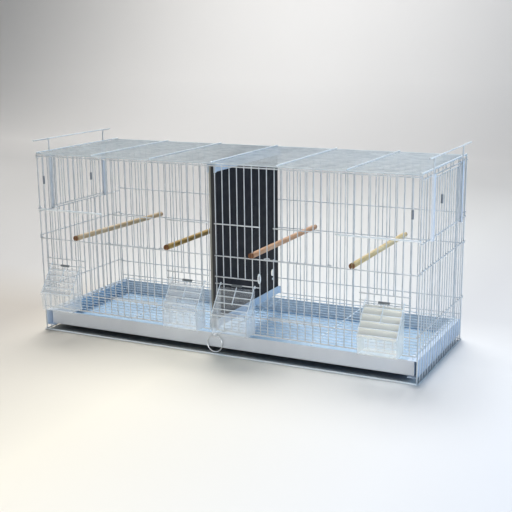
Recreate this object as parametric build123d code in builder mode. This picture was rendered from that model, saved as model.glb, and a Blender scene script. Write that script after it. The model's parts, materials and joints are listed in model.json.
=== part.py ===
from build123d import *
from math import atan, cos, radians, sin, sqrt, tan
import os

# A welded wire breeding cage with two compartments, in millimetres, standing on the floor at z = 0.
# X runs along the front, Y from the front to the back. The origin is the centre of the footprint.

os.makedirs("parts", exist_ok=True)

# Overall size, between the centre planes of the upright wires
cage_width = 900
cage_depth = 322

# Wire sizes, measured across the flats of the drawn sections
bar = 2.2
rail = 2.6
stout_rail = 4.0
post = 3.0
curl = 2.0
hinge_wire = 2.2

# Clearances
running_gap = 0.3
door_gap = 0.5
overrun = 1.0

# Heights of the rails' centre lines above the floor
floor_level = 58
lower_level = 95
hinge_level = 160
feeder_level = 175
perch_level = 220
upper_level = 288
side_lower_level = 101
side_perch_level = 226
side_upper_level = 281
roof_underside = 414.5
top_drop = 9.5
front_top_drop = 5.5

# The grid: uprights are counted from the left along the front and from the front along the sides
front_gaps = 53
side_gaps = 18
feeder_centre_indices = (4, 23, 30, 49)
feeder_half_count = 3
door_guide_indices = (11, 34)
door_gap_count = 8
slot_upright_indices = (26, 27)
front_roof_hook_indices = (3, 12, 21, 32, 41, 50)
side_roof_hook_indices = (3, 6, 9, 12, 15)
nest_door_leg_index = 3
nest_door_gap_count = 12
perch_front_indices = (6, 20, 32, 45)
perch_back_indices = (7, 20, 32, 45)
upright_tail = 1.0
rail_tip = 1.0

# Feeders: each guard is as wide as its cup
guard_length = 72
guard_slope = 54
guard_cross_shares = (0.2, 0.4, 0.6, 0.8, 1.0)
guard_middle_share = 0.6
guard_hook_turn = 215
tab_width = 24
tab_length = 5
tab_thickness = 1.2
cup_width = 82
cup_wall = 1.6
cup_reach = 51
cup_floor = 61.5
cup_front_rise = 39
cup_front_lean = 4
cup_lip = 3
cup_hood_start = 8
rest_length = 38
rest_inset = 12

# Front doors
door_curl_radius = 5.5
door_curl_turn = 250
door_bottom_lift = 5

# Nest doors in the two ends
leg = 3.0
channel_wall = 0.8
channel_width = 10
channel_tail = 2
leg_play = 0.4
handle_rise = 27.5
handle_bend = 6
long_overhang = 54
short_overhang = 32
nest_rail_inset = 4
catch_height = 18
catch_wall = 1.2
left_catch_index = 12
left_catch_share = 0.4
right_catch_index = 6
right_catch_share = 0.6

# Roof
roof_bar_count = 7

# Tray, its runners and the floor grille
tray_play = 3.6
tray_recess = 12
tray_bottom = 13
tray_top = 46
tray_wall = 1.2
tray_rim = 4
back_room = 2
runner_wall = 1.0
runner_flange = 20
grille_play = 7.6
grille_wire = 2.0
grille_wire_count = 17
grille_bar_shares = (-0.495, -0.25, -0.02, 0.02, 0.25, 0.495)

# Pull ring
ring_size = 38
ring_wire = 2.2
ring_stand_off = 11
ring_play = 0.8
strap_width = 6
strap_wall = 1.2

# Divider
divider_thickness = 4
trim_width = 10
trim_depth = 14
trim_wall = 1.5
guide_wall = 1.0
guide_height = 18
guide_play = 0.4
guide_plate_width = 22
divider_slot_width = 8
divider_slot_length = 22
divider_hole = 4
divider_hole_drop = 19
divider_slot_back = 32
divider_slot_level = 184

# Perches
perch = 12
perch_out = 4
slot_play = 0.4
slot_depth = 14

# Clips and corner hooks
left_clip_index = 1
right_clip_index = 52
left_clip_share = 0.56
right_clip_share = 0.39
clip_height = 18
clip_wall = 1.2
hook_levels = (lower_level, perch_level, upper_level)

# Places worked out from the sizes above
hexagon_sides = 6
bend_run_count = 6
octagon_sides = 8
octagon_angle = 180 / octagon_sides
octagon_corner_share = 1 - 1 / sqrt(2)
ring_sides = 24
ring_angle = 180 / ring_sides
hexagon_angle = 180 / hexagon_sides
pitch = cage_width / front_gaps
side_pitch = cage_depth / side_gaps
half_width = cage_width / 2
bar_corner = bar / 2 / cos(radians(hexagon_angle))
post_inset = (post - bar) / 2
rail_offset = (bar + rail) / 2
rail_face = bar / 2 + rail
perch_end = rail_face + perch_out
perch_lean = atan(pitch / cage_depth)
back_reach = perch_end * cos(perch_lean) + perch / 2 * sin(perch_lean)
front_y = (cup_reach - cage_depth - back_reach) / 2
back_y = front_y + cage_depth
side_edge = half_width + bar / 2
upright_bottom = floor_level - rail / 2 - upright_tail
top_level = roof_underside - top_drop
front_top_level = roof_underside - front_top_drop
upright_top = top_level + rail / 2 + upright_tail
front_upright_top = front_top_level + rail / 2 + upright_tail
roof_edge_bottom = roof_underside - rail
mid_rail_levels = (floor_level, lower_level, perch_level, upper_level)
door_guides = [(index, index + door_gap_count) for index in door_guide_indices]
nest_door_legs = (nest_door_leg_index, nest_door_leg_index + nest_door_gap_count)


def front_x(index):
    """Where an upright of the front or back panel stands."""
    return index * pitch - half_width


def side_y(index):
    """Where an upright of a side panel stands."""
    return front_y + index * side_pitch


def wires_up(places, bottom, top, size=bar, sides=hexagon_sides, turn=0.0):
    """Straight wires that stand at the given X and Y places."""
    with BuildPart() as wires:
        with BuildSketch(Plane.XY.offset(bottom)):
            with Locations(*places):
                RegularPolygon(size / 2, sides, major_radius=False, rotation=turn)
        extrude(amount=top - bottom)
    return wires.part.solids()


def wires_across(places, left, right, size=rail, sides=octagon_sides, turn=octagon_angle):
    """Straight wires along X at the given Y and Z places."""
    with BuildPart() as wires:
        with BuildSketch(Plane.YZ.offset(left)):
            with Locations(*places):
                RegularPolygon(size / 2, sides, major_radius=False, rotation=turn)
        extrude(amount=right - left)
    return wires.part.solids()


def wires_back(places, front, back, size=rail, sides=octagon_sides, turn=octagon_angle):
    """Straight wires along Y at the given X and Z places."""
    with BuildPart() as wires:
        with BuildSketch(Plane.XZ.offset(-back)):
            with Locations(*places):
                RegularPolygon(size / 2, sides, major_radius=False, rotation=turn)
        extrude(amount=back - front)
    return wires.part.solids()


def bent(centre_x, centre_y, radius, start_angle, turn):
    """The corners of a wire that leaves a tangent and bends round a centre in short straight runs."""
    step = turn / bend_run_count
    corner_radius = radius / cos(radians(step / 2))
    angles = [radians(start_angle + (run + 0.5) * step) for run in range(bend_run_count)]
    end_angle = radians(start_angle + turn)
    corners = [(centre_x + corner_radius * cos(a), centre_y + corner_radius * sin(a)) for a in angles]
    return corners + [(centre_x + radius * cos(end_angle), centre_y + radius * sin(end_angle))]


def hexagon(size, turn=0.0, mode=Mode.ADD):
    """A hexagonal section, measured across its flats."""
    RegularPolygon(size / 2, hexagon_sides, major_radius=False, rotation=turn, mode=mode)


def octagon(size, mode=Mode.ADD):
    """An octagonal section with flats that face along both of its axes."""
    RegularPolygon(size / 2, octagon_sides, major_radius=False, rotation=octagon_angle, mode=mode)


def save(node, name):
    """Labels a finished piece and writes it."""
    node.label = name
    export_step(node, f"parts/{name}.step")


def save_welded(groups, name):
    """Writes wires that meet face to face at their welds as one node of separate solids."""
    save(Compound([wire for group in groups for wire in group]), name)


# Front panel: uprights inside, rails outside, open at the feeders, the doors and the divider's slot

def front_spans(index):
    """The stretches of a front upright that the feeder and door openings leave."""
    top = roof_edge_bottom if index in front_roof_hook_indices else front_upright_top
    at_feeder = any(abs(index - centre) < 2 for centre in feeder_centre_indices)
    at_door = any(left < index < right for left, right in door_guides)
    if at_feeder:
        return [(upright_bottom, lower_level + rail / 2), (feeder_level - rail / 2, top)]
    if at_door:
        return [(upright_bottom, lower_level + rail / 2), (perch_level - rail / 2, top)]
    return [(upright_bottom, top)]


def rail_runs(breaks):
    """The runs of a front rail between its breaks, each given by the uprights beside it."""
    starts = [0] + [after for before, after in breaks]
    ends = [before for before, after in breaks] + [front_gaps]
    return list(zip(starts, ends))


def run_ends(run):
    """The X places of a run's two ends, a tip past its last uprights."""
    left = -side_edge if run[0] == 0 else front_x(run[0]) - bar_corner - rail_tip
    right = side_edge if run[1] == front_gaps else front_x(run[1]) + bar_corner + rail_tip
    return left, right


front_stretches = {}
for index in range(1, front_gaps):
    for span in front_spans(index):
        front_stretches.setdefault(span, []).append((front_x(index), front_y))

front_rail_y = front_y - rail_offset
feeder_runs = [
    (centre - feeder_half_count, centre + feeder_half_count) for centre in feeder_centre_indices
]
guide_breaks = [(guide - 1, guide + 1) for pair in door_guides for guide in pair]
upper_runs = rail_runs(sorted(guide_breaks + [slot_upright_indices]))
front_rails = {
    upper_level: upper_runs[1:-1],
    perch_level: rail_runs([slot_upright_indices]),
    lower_level: rail_runs([slot_upright_indices]),
    floor_level: rail_runs([slot_upright_indices]),
    front_top_level: rail_runs([]),
    feeder_level: feeder_runs,
}
stout_y = front_y - (bar + stout_rail) / 2
stout_upper_level = upper_level - (stout_rail - rail) / 2
front_groups = [wires_up(places, *span) for span, places in front_stretches.items()]
front_groups.append(wires_across([(stout_y, stout_rail / 2)], -side_edge, side_edge, stout_rail))
for run in (upper_runs[0], upper_runs[-1]):
    front_groups.append(wires_across([(stout_y, stout_upper_level)], *run_ends(run), stout_rail))
for level, runs in front_rails.items():
    for run in runs:
        front_groups.append(wires_across([(front_rail_y, level)], *run_ends(run)))
save_welded(front_groups, "front_panel")

# Back panel: closed down to the floor, so that the tray stops there

back_rail_y = back_y + rail_offset
back_places = [(front_x(index), back_y) for index in range(1, front_gaps)]
back_levels = [rail / 2, *mid_rail_levels, top_level]
back_groups = [
    wires_up(back_places, 0, upright_top),
    wires_across([(back_rail_y, level) for level in back_levels], -side_edge, side_edge),
]
save_welded(back_groups, "back_panel")

# Corner posts, flush with the outer faces of both panels that meet there

post_x = half_width - post_inset
post_front_y = front_y + post_inset
post_back_y = back_y - post_inset
post_places = [(x, y) for x in (-post_x, post_x) for y in (post_front_y, post_back_y)]
posts = wires_up(post_places, 0, roof_edge_bottom, post, octagon_sides, octagon_angle)
save_welded([posts], "corner_posts")


# Side panels: open above the upper rail between the legs of the nest door

def side_stretches():
    """The Y places of a side panel's uprights, by the heights they span."""
    stretches = {}
    for index in range(1, side_gaps):
        top = roof_underside if index in side_roof_hook_indices else upright_top
        spans = [(0, top)]
        if nest_door_legs[0] < index < nest_door_legs[1]:
            spans = [(0, side_upper_level + rail / 2)]
            if index in side_roof_hook_indices:
                spans.append((top_level - rail / 2, roof_underside))
        for span in spans:
            stretches.setdefault(span, []).append(side_y(index))
    return stretches


side_levels = [rail / 2, side_lower_level, side_perch_level, side_upper_level, top_level]
for side, side_name in ((-1, "left"), (1, "right")):
    side_rail_x = side * (half_width + rail_offset)
    side_groups = [
        wires_up([(side * half_width, y) for y in places], *span, turn=hexagon_angle)
        for span, places in side_stretches().items()
    ]
    side_rails = [(side_rail_x, level) for level in side_levels]
    side_groups.append(wires_back(side_rails, front_y - bar / 2, back_y + bar / 2))
    save_welded(side_groups, f"side_panel_{side_name}")

# Roof: stout bars from front to back over fine wires and two edge rails

roof_wire_level = roof_underside - bar / 2
roof_wire_places = [(side_y(index) + side_pitch / 2, roof_wire_level) for index in range(side_gaps)]
roof_edge_places = [(y, roof_underside - rail / 2) for y in (front_y, back_y)]
roof_bar_pitch = 2 * post_x / (roof_bar_count - 1)
roof_bar_level = roof_underside + post / 2
roof_bar_places = [(index * roof_bar_pitch - post_x, roof_bar_level) for index in range(roof_bar_count)]
roof_groups = [
    wires_across(roof_wire_places, -side_edge, side_edge, bar, hexagon_sides, 0),
    wires_across(roof_edge_places, -side_edge, side_edge),
    wires_back(roof_bar_places, front_y - bar / 2, back_y + bar / 2, post),
]
save_welded(roof_groups, "roof_panel")

# Corner hooks: rail ends curled round the posts, above the rails that they tie

with BuildPart() as corner_hooks:
    for level in hook_levels:
        with BuildSketch(Plane.XY.offset(level + rail / 2)):
            with Locations(*post_places):
                octagon(post + 2 * rail)
                octagon(post, Mode.SUBTRACT)
        extrude(amount=rail)
save(corner_hooks.part, "corner_hooks")

# Clips on the outer uprights of the front panel

clip_room = front_top_level - upper_level - rail - clip_height
with BuildPart() as front_clips:
    for index, share in ((left_clip_index, left_clip_share), (right_clip_index, right_clip_share)):
        with BuildSketch(Plane.XY.offset(upper_level + rail / 2 + share * clip_room)):
            with Locations((front_x(index), front_y)):
                hexagon(bar + 2 * clip_wall)
                hexagon(bar, mode=Mode.SUBTRACT)
        extrude(amount=clip_height)
save(front_clips.part, "front_clips")


# Front doors: loose curls ride on two guide uprights and hang on the perch rail

door_bar_y = front_y - rail_face - door_gap - bar / 2
door_wire_y = door_bar_y - (bar + curl) / 2
door_top_level = perch_level + rail / 2 + running_gap + curl / 2
door_bottom_level = lower_level + door_bottom_lift


def front_door(guides):
    """One guillotine door between its two guides."""
    left, right = front_x(guides[0]), front_x(guides[1])
    curl_y = door_wire_y + door_curl_radius
    left_curl = bent(left, curl_y, door_curl_radius, 270, -door_curl_turn)
    right_curl = bent(right, curl_y, door_curl_radius, 270, door_curl_turn)
    with BuildPart() as top_wire:
        with BuildLine(Plane.XY.offset(door_top_level)) as path:
            Polyline(*reversed(left_curl), *right_curl)
        with BuildSketch(Plane(origin=path.line @ 0, x_dir=(0, 0, 1), z_dir=path.line % 0)):
            hexagon(curl)
        sweep(transition=Transition.RIGHT)
    bars = [(front_x(guides[0] + step), door_bar_y) for step in range(1, door_gap_count)]
    bar_bottom = lower_level - rail / 2 - upright_tail
    bottom_left, bottom_right = left + pitch / 2, right - pitch / 2
    return [
        top_wire.part.solids(),
        wires_up(bars, bar_bottom, door_top_level + curl / 2 + upright_tail),
        wires_across([(door_wire_y, door_bottom_level)], bottom_left, bottom_right, curl),
    ]


for guides, side_name in zip(door_guides, ("left", "right")):
    save_welded(front_door(guides), f"front_door_{side_name}")


# Nest doors: a wire frame in two folded channels on each end, with legs that rise to a handle

leg_offset = rail_face + channel_wall + leg_play + leg / 2
nest_bar_offset = leg_offset + (rail + bar) / 2
channel_depth = 2 * channel_wall + 2 * leg_play + leg
channel_bottom = side_upper_level - rail / 2 - channel_tail
channel_top = top_level + rail / 2 + channel_tail
leg_bottom = channel_bottom + channel_wall + running_gap
handle_height = roof_underside + handle_rise
nest_low_level = side_upper_level + nest_rail_inset
nest_high_level = top_level - nest_rail_inset
leg_front_y = side_y(nest_door_legs[0])
leg_back_y = side_y(nest_door_legs[1])


def door_channel(side, leg_y, inward):
    """A folded strip round one leg, open towards the door and closed below the leg."""
    web_y = leg_y - inward * (leg / 2 + leg_play + channel_wall)
    inner_x = side * (half_width + rail_face)
    centre_x = inner_x + side * channel_depth / 2
    centre_y = web_y + inward * channel_width / 2
    with BuildPart() as channel:
        with BuildSketch(Plane.XY.offset(channel_bottom)):
            with Locations((centre_x, centre_y)):
                Rectangle(channel_depth, channel_width)
            with Locations((centre_x, centre_y + inward * channel_wall)):
                Rectangle(channel_depth - 2 * channel_wall, channel_width, mode=Mode.SUBTRACT)
        extrude(amount=channel_top - channel_bottom)
        with BuildSketch(Plane.XY.offset(channel_bottom)):
            with Locations((centre_x, centre_y)):
                Rectangle(channel_depth, channel_width)
        extrude(amount=channel_wall)
    return channel.part.solids()


def door_leg(side, leg_y, overhang):
    """A leg with its top bent along the roof's edge; overhang is negative towards the front."""
    leg_x = side * (half_width + leg_offset)
    away = overhang / abs(overhang)
    bend_y = leg_y + away * handle_bend
    bend_level = handle_height - handle_bend
    with BuildPart() as bent_leg:
        with BuildLine(Plane.YZ.offset(leg_x)):
            Line((leg_y, leg_bottom), (leg_y, bend_level))
            CenterArc((bend_y, bend_level), handle_bend, 90 + 90 * away, -90 * away)
            Line((bend_y, handle_height), (leg_y + overhang, handle_height))
        with BuildSketch(Plane.XY.offset(leg_bottom)):
            with Locations((leg_x, leg_y)):
                octagon(leg)
        sweep()
    return bent_leg.part.solids()


def nest_door(side):
    """The frame, bars and handle rod of one nest door. The right door is the left one turned about."""
    frame_x = side * (half_width + leg_offset)
    rod_x = side * (half_width + leg_offset + (leg + rail) / 2)
    front_overhang = long_overhang if side < 0 else short_overhang
    back_overhang = short_overhang if side < 0 else long_overhang
    bars = [
        (side * (half_width + nest_bar_offset), side_y(nest_door_leg_index + step))
        for step in range(1, nest_door_gap_count)
    ]
    return [
        door_leg(side, leg_front_y, -front_overhang),
        door_leg(side, leg_back_y, back_overhang),
        wires_back(
            [(frame_x, nest_low_level), (frame_x, nest_high_level)],
            leg_front_y + leg / 2,
            leg_back_y - leg / 2,
        ),
        wires_back([(rod_x, handle_height)], leg_front_y - front_overhang, leg_back_y + back_overhang),
        wires_up(
            bars,
            nest_low_level - rail / 2 - upright_tail,
            nest_high_level + rail / 2 + upright_tail,
            turn=hexagon_angle,
        ),
    ]


for side, side_name in ((-1, "left"), (1, "right")):
    channels = [door_channel(side, leg_front_y, 1), door_channel(side, leg_back_y, -1)]
    save_welded(channels, f"nest_door_channels_{side_name}")
    save_welded(nest_door(side), f"nest_door_{side_name}")

catch_room = nest_high_level - nest_low_level - catch_height
catch_places = ((-1, left_catch_index, left_catch_share), (1, right_catch_index, right_catch_share))
for side, index, share in catch_places:
    level = nest_low_level + share * catch_room
    with BuildPart() as catch:
        with BuildSketch(Plane.XY.offset(level)):
            with Locations((side * (half_width + nest_bar_offset), side_y(index))):
                hexagon(bar + 2 * catch_wall, hexagon_angle)
                hexagon(bar, hexagon_angle, Mode.SUBTRACT)
        extrude(amount=catch_height)
    save(catch.part, f"nest_door_catch_{'left' if side < 0 else 'right'}")


# Feeders: a hinge wire across each opening, a wire guard hooked on it and a clear hooded cup below

hinge_y = front_y - (bar + hinge_wire) / 2
hook_radius = hinge_wire / 2 + running_gap + curl / 2
slope_cos = cos(radians(guard_slope))
slope_sin = sin(radians(guard_slope))
down_slope = (0, -slope_cos, -slope_sin)

with BuildPart() as hinge_wires:
    for run in feeder_runs:
        left, right = run_ends(run)
        with BuildSketch(Plane.YZ.offset(left)):
            with Locations((hinge_y, hinge_level)):
                Circle(hinge_wire / 2)
        extrude(amount=right - left)
save(hinge_wires.part, "feeder_hinge_wires")


def on_slope(down, out):
    """The Y and Z of a point that lies down the guard's slope and out from the hinge's axis."""
    return (
        hinge_y - down * slope_cos - out * slope_sin,
        hinge_level - down * slope_sin + out * slope_cos,
    )


def slope_plane(x, down=0, out=0):
    """A plane across the slope: its own X runs down the slope, its Y stands out from it."""
    y, z = on_slope(down, out)
    return Plane(origin=(x, y, z), x_dir=down_slope, z_dir=(-1, 0, 0))


def guard(centre_x):
    """A sloping wire flap whose side wires hook over the hinge wire."""
    half = cup_width / 2 - curl / 2
    foot = (guard_length + curl, hook_radius)
    hook = bent(0, 0, hook_radius, 90, guard_hook_turn)
    groups = []
    for side_x in (centre_x - half, centre_x + half):
        with BuildPart() as side_wire:
            with BuildLine(slope_plane(side_x)) as path:
                Polyline(foot, *hook)
            with BuildSketch(Plane(origin=path.line @ 0, x_dir=(1, 0, 0), z_dir=path.line % 0)):
                hexagon(curl)
            sweep(transition=Transition.RIGHT)
        groups.append(side_wire.part.solids())
    with BuildPart() as cross_wires:
        with BuildSketch(slope_plane(centre_x + half + curl / 2)):
            places = [(share * guard_length, hook_radius + curl) for share in guard_cross_shares]
            with Locations(*places):
                hexagon(curl)
        extrude(amount=2 * half + curl)
    with BuildPart() as middle_wire:
        y, z = on_slope(tab_length - curl, hook_radius)
        with BuildSketch(Plane(origin=(centre_x, y, z), x_dir=(1, 0, 0), z_dir=down_slope)):
            hexagon(curl)
        extrude(amount=guard_middle_share * guard_length + curl - tab_length + curl)
    return groups + [cross_wires.part.solids(), middle_wire.part.solids()]


def guard_tab(centre_x):
    """A flat thumb tab on the guard's middle wire, beside the hinge."""
    tab_start = tab_length / 2
    with BuildPart() as tab:
        with BuildSketch(slope_plane(centre_x + tab_width / 2)):
            with Locations((tab_start, hook_radius + curl / 2 + tab_thickness / 2)):
                Rectangle(tab_length, tab_thickness)
        extrude(amount=tab_width)
    return tab.part


def cup(centre_x):
    """A clear hooded cup, open to the cage above the lower rail."""
    left = centre_x - cup_width / 2
    back = front_y - rail_face
    back_top = lower_level + rail / 2
    hood = hook_radius - curl / 2 - running_gap
    front = front_y - cup_reach + cup_lip
    front_top = cup_floor + cup_front_rise
    hood_end = on_slope(cup_hood_start, hood)
    slope_run = (hood_end[1] - front_top) / tan(radians(guard_slope))
    hood_foot = (hood_end[0] - slope_run, front_top)
    inner_drop = cup_wall / slope_cos
    with BuildPart() as hooded_cup:
        with BuildSketch(Plane.YZ.offset(left)):
            with BuildLine():
                Polyline(
                    (back, cup_floor),
                    (front + cup_front_lean, cup_floor),
                    (front, front_top),
                    hood_foot,
                    hood_end,
                    (back, hood_end[1]),
                    close=True,
                )
            make_face()
        extrude(amount=cup_width)
        with BuildSketch(Plane.YZ.offset(left + cup_wall)):
            with BuildLine():
                Polyline(
                    (back - cup_wall, cup_floor + cup_wall),
                    (front + cup_front_lean + cup_wall, cup_floor + cup_wall),
                    (front + cup_wall, front_top - cup_wall),
                    (hood_foot[0], front_top - cup_wall),
                    (hood_end[0], hood_end[1] - inner_drop),
                    (back + overrun, hood_end[1] - inner_drop),
                    (back + overrun, back_top),
                    (back - cup_wall, back_top),
                    close=True,
                )
            make_face()
        extrude(amount=cup_width - 2 * cup_wall, mode=Mode.SUBTRACT)
        with BuildSketch(Plane.YZ.offset(left)):
            with Locations((front - cup_lip / 2 + cup_wall / 2, front_top - cup_wall / 2)):
                Rectangle(cup_lip + cup_wall, cup_wall)
        extrude(amount=cup_width)
    return hooded_cup.part


for number, index in enumerate(feeder_centre_indices, start=1):
    save_welded(guard(front_x(index)), f"feeder_guard_{number}")
    save(guard_tab(front_x(index)), f"feeder_guard_tab_{number}")
    save(cup(front_x(index)), f"feeder_cup_{number}")

rest_front = front_y - rail_face + rail - rest_length
rest_places = [
    (front_x(index) + side * (cup_width / 2 - rest_inset), floor_level + rail / 2 + curl / 2)
    for index in feeder_centre_indices
    for side in (-1, 1)
]
rests = wires_back(rest_places, rest_front, front_y - bar / 2, curl, hexagon_sides, 0)
save_welded([rests], "cup_rests")

# Perches: round rods whose end slots straddle an upright, lying on the perch rails

perch_axis_level = perch_level + rail / 2 + perch / 2
perch_uprights = zip(perch_front_indices, perch_back_indices)
for number, (front_index, back_index) in enumerate(perch_uprights, start=1):
    front_point = Vector(front_x(front_index), front_y, perch_axis_level)
    back_point = Vector(front_x(back_index), back_y, perch_axis_level)
    direction = (back_point - front_point).normalized()
    length = (back_point - front_point).length + 2 * perch_end
    start = front_point - direction * perch_end
    with BuildPart() as rod:
        with BuildSketch(Plane(origin=start, z_dir=direction)):
            Circle(perch / 2)
        extrude(amount=length)
        with BuildSketch(Plane(origin=start, x_dir=direction, z_dir=(0, 0, 1))):
            with Locations((slot_depth / 2, 0), (length - slot_depth / 2, 0)):
                Rectangle(slot_depth, 2 * bar_corner + 2 * slot_play)
        extrude(amount=perch, both=True, mode=Mode.SUBTRACT)
    save(rod.part, f"perch_{number}")

# Tray: a sheet pan with a rim turned out, recessed behind the front panel

clear_half_width = post_x - post / 2
tray_width = 2 * (clear_half_width - tray_play - tray_rim)
grille_width = 2 * (clear_half_width - grille_play)
tray_front = front_y + tray_recess
tray_back = back_y - bar / 2 - back_room
tray_depth = tray_back - tray_front
tray_centre_y = (tray_front + tray_back) / 2
with BuildPart() as tray:
    with BuildSketch(Plane.XY.offset(tray_bottom)):
        with Locations((0, tray_centre_y)):
            Rectangle(tray_width, tray_depth)
    extrude(amount=tray_top - tray_bottom)
    with BuildSketch(Plane.XY.offset(tray_top - tray_wall)):
        with Locations((0, tray_centre_y - tray_rim / 2)):
            Rectangle(tray_width + 2 * tray_rim, tray_depth + tray_rim)
    extrude(amount=tray_wall)
    with BuildSketch(Plane.XY.offset(tray_bottom + tray_wall)):
        with Locations((0, tray_centre_y)):
            Rectangle(tray_width - 2 * tray_wall, tray_depth - 2 * tray_wall)
    extrude(amount=tray_top - tray_bottom, mode=Mode.SUBTRACT)
save(tray.part, "tray")

# Tray runners: channels inside the side panels that carry the tray below and the grille above

runner_low = tray_bottom - running_gap - runner_wall
runner_high = tray_top + running_gap + runner_wall
runner_front = post_front_y + post / 2
runner_back = post_back_y - post / 2
for side, side_name in ((-1, "left"), (1, "right")):
    web_face = half_width - bar / 2
    with BuildPart() as runner:
        with BuildSketch(Plane.XZ.offset(-runner_back)):
            with Locations((side * (web_face - runner_flange / 2), (runner_low + runner_high) / 2)):
                Rectangle(runner_flange, runner_high - runner_low)
            inner_x = side * (web_face - runner_wall - runner_flange / 2)
            with Locations((inner_x, (runner_low + runner_high) / 2)):
                Rectangle(runner_flange, runner_high - runner_low - 2 * runner_wall, mode=Mode.SUBTRACT)
        extrude(amount=runner_back - runner_front)
    save(runner.part, f"tray_runner_{side_name}")

# Floor grille: bars from front to back under fine wires, carried by the runners' upper flanges

grille_bar_level = runner_high + running_gap + rail / 2
grille_wire_level = grille_bar_level + (rail + grille_wire) / 2
grille_pitch = (tray_depth - grille_wire) / (grille_wire_count - 1)
grille_front = tray_front + grille_wire / 2
grille_bar_places = [(share * grille_width, grille_bar_level) for share in grille_bar_shares]
grille_wire_places = [
    (grille_front + index * grille_pitch, grille_wire_level) for index in range(grille_wire_count)
]
grille_groups = [
    wires_back(grille_bar_places, tray_front, tray_back),
    wires_across(grille_wire_places, -grille_width / 2, grille_width / 2, grille_wire, hexagon_sides, 0),
]
save_welded(grille_groups, "floor_grille")

# Pull ring in a strap that is folded over it, on the tray's front

ring_radius = (ring_size - ring_wire) / 2
ring_bore = ring_size / 2 - ring_wire
ring_axis_level = tray_top - tray_wall - ring_play - ring_wire / 2 - strap_wall
ring_axis_y = tray_front - ring_stand_off
with BuildPart() as tray_ring:
    with BuildSketch(Plane.XZ.offset(-ring_axis_y)):
        with Locations((0, ring_axis_level - ring_radius)):
            RegularPolygon(ring_size / 2, ring_sides, major_radius=False, rotation=ring_angle)
            RegularPolygon(
                ring_bore, ring_sides, major_radius=False, rotation=ring_angle, mode=Mode.SUBTRACT
            )
    extrude(amount=ring_wire / 2, both=True)
    band_edges = tray_ring.edges().filter_by(Plane.XZ)
    chamfer(band_edges, ring_wire * octagon_corner_share)
save(tray_ring.part, "tray_ring")

strap_inner = ring_wire / 2 + ring_play
strap_outer = strap_inner + strap_wall
with BuildPart() as ring_strap:
    with BuildSketch(Plane.YZ.offset(-strap_width / 2)):
        with Locations((ring_axis_y, ring_axis_level)):
            Circle(strap_outer)
        with Locations(((ring_axis_y + tray_front) / 2, ring_axis_level + strap_outer - strap_wall / 2)):
            Rectangle(tray_front - ring_axis_y, strap_wall)
        with Locations((ring_axis_y, ring_axis_level)):
            Circle(strap_inner, mode=Mode.SUBTRACT)
    extrude(amount=strap_width)
save(ring_strap.part, "ring_strap")

# Divider: a sheet with an edge trim, in two guides welded behind the uprights beside the slot

guide_inner = divider_thickness + 2 * guide_play
guide_outer = guide_inner + 2 * guide_wall
guide_front = front_y + bar / 2
guide_back = back_y - bar / 2
trim_front = front_y - bar / 2
mouth_inner = trim_width + 2 * guide_play
mouth_back = trim_front + trim_depth + running_gap + guide_wall
floor_guide_bottom = floor_level
roof_guide_top = roof_edge_bottom


def divider_guide(bottom, opens_up):
    """A channel from front to back, with a wider mouth for the trim and a plate at each end."""
    middle = bottom + guide_height / 2
    web = guide_wall if opens_up else -guide_wall
    with BuildPart() as guide:
        with BuildSketch(Plane.XZ.offset(-guide_back)):
            with Locations((0, middle)):
                Rectangle(guide_outer, guide_height)
        extrude(amount=guide_back - guide_front)
        with BuildSketch(Plane.XZ.offset(-mouth_back)):
            with Locations((0, middle)):
                Rectangle(mouth_inner + 2 * guide_wall, guide_height)
        extrude(amount=mouth_back - guide_front)
        for plate_back in (guide_back, guide_front + guide_wall):
            with BuildSketch(Plane.XZ.offset(-plate_back)):
                with Locations((0, middle)):
                    Rectangle(guide_plate_width, guide_height)
            extrude(amount=guide_wall)
        with BuildSketch(Plane.XZ.offset(-guide_back - overrun)):
            with Locations((0, middle + web)):
                Rectangle(guide_inner, guide_height)
        extrude(amount=guide_back - guide_front + 2 * overrun, mode=Mode.SUBTRACT)
        with BuildSketch(Plane.XZ.offset(-mouth_back + guide_wall)):
            with Locations((0, middle + web)):
                Rectangle(mouth_inner, guide_height)
        extrude(amount=mouth_back - guide_front + overrun, mode=Mode.SUBTRACT)
    return guide.part


save(divider_guide(floor_guide_bottom, True), "divider_floor_guide")
save(divider_guide(roof_guide_top - guide_height, False), "divider_roof_guide")

sheet_bottom = floor_guide_bottom + guide_wall + running_gap
sheet_top = front_top_level - rail / 2 - running_gap
sheet_front = trim_front + trim_wall
sheet_back = back_y - bar / 2 - guide_wall
with BuildPart() as divider_sheet:
    with BuildSketch(Plane.YZ.offset(-divider_thickness / 2)):
        with Locations(((sheet_front + sheet_back) / 2, (sheet_bottom + sheet_top) / 2)):
            Rectangle(sheet_back - sheet_front, sheet_top - sheet_bottom)
        with Locations((sheet_back - divider_slot_back, divider_slot_level)):
            SlotOverall(divider_slot_length, divider_slot_width, rotation=90, mode=Mode.SUBTRACT)
        with Locations((sheet_back - divider_slot_back, divider_slot_level - divider_hole_drop)):
            Circle(divider_hole / 2, mode=Mode.SUBTRACT)
    extrude(amount=divider_thickness)
save(divider_sheet.part, "divider_sheet")

with BuildPart() as divider_trim:
    with BuildSketch(Plane.XY.offset(sheet_bottom)):
        with Locations((0, trim_front + trim_depth / 2)):
            Rectangle(trim_width, trim_depth)
        with Locations((0, trim_front + trim_wall + trim_depth / 2)):
            Rectangle(divider_thickness, trim_depth, mode=Mode.SUBTRACT)
    extrude(amount=sheet_top - sheet_bottom)
save(divider_trim.part, "divider_trim")
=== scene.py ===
import json
import random
from math import ceil, cos, pi, radians, sin

import bmesh
import bpy
import numpy as np
from mathutils import Matrix, Vector
from mathutils.geometry import tessellate_polygon


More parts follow.
